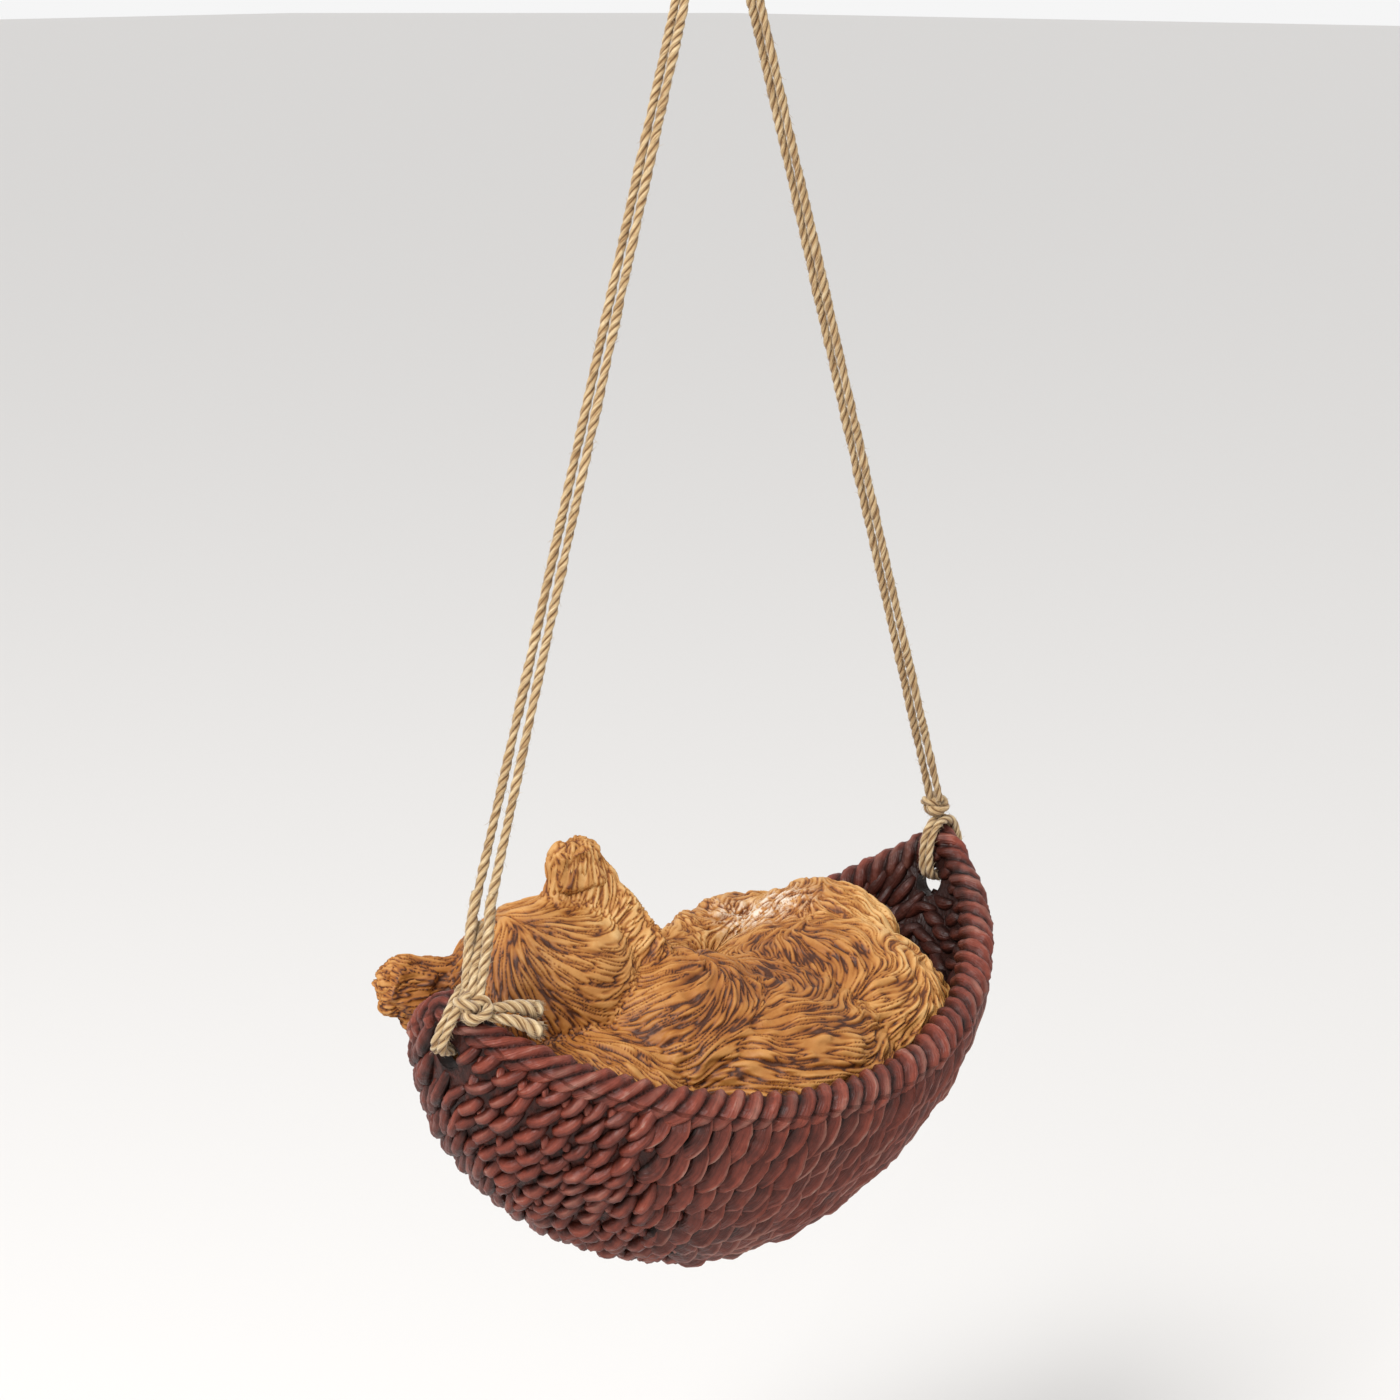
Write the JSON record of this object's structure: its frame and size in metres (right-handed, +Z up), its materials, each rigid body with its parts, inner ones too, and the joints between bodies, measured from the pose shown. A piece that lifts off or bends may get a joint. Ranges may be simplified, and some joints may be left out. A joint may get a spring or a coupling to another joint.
{
  "type": "hanging cat figurine",
  "caption": "Cast resin cat asleep in a boat-shaped wicker-look basket, hung from doubled jute twine with a loop for a hook.",
  "frame": {"origin": "inside top of the hanging loop, where a hook bears", "axes": "+X along the basket towards the cat's rump, +Y towards the side that the cat's face turns to, +Z up"},
  "size_m": [0.1783, 0.0956, 0.3392],
  "materials": {
    "wicker_paint": "cast polyester resin, carved as wicker, painted red-brown with a dry-brushed mauve highlight",
    "fur_paint": "cast polyester resin, carved as fur, painted ginger with a brown wash in the grooves",
    "jute": "natural jute twine, 2 mm, three twisted plies, hairy",
    "epoxy": "cured amber epoxy glue"
  },
  "bodies": {
    "hanger": {"hanging_loop": "jute", "top_knot": "jute", "twine_left_front": "jute", "twine_left_back": "jute", "twine_right_front": "jute", "twine_right_back": "jute", "left_bundle": "jute"},
    "basket": {"basket": "wicker_paint", "cat": "fur_paint", "epoxy_bed": "epoxy", "left_hitch": "jute", "left_knot": "jute", "left_tail_upper": "jute", "left_tail_lower": "jute", "right_hitch": "jute", "right_knot": "jute"}
  },
  "joints": [
    {"name": "basket_rock", "type": "hinge", "parent": "hanger", "child": "basket", "pos_m": [0.0003, -0.0024, -0.256], "axis": [0.9984, 0.0467, 0.0319], "range_deg": [-20, 20]}
  ]
}
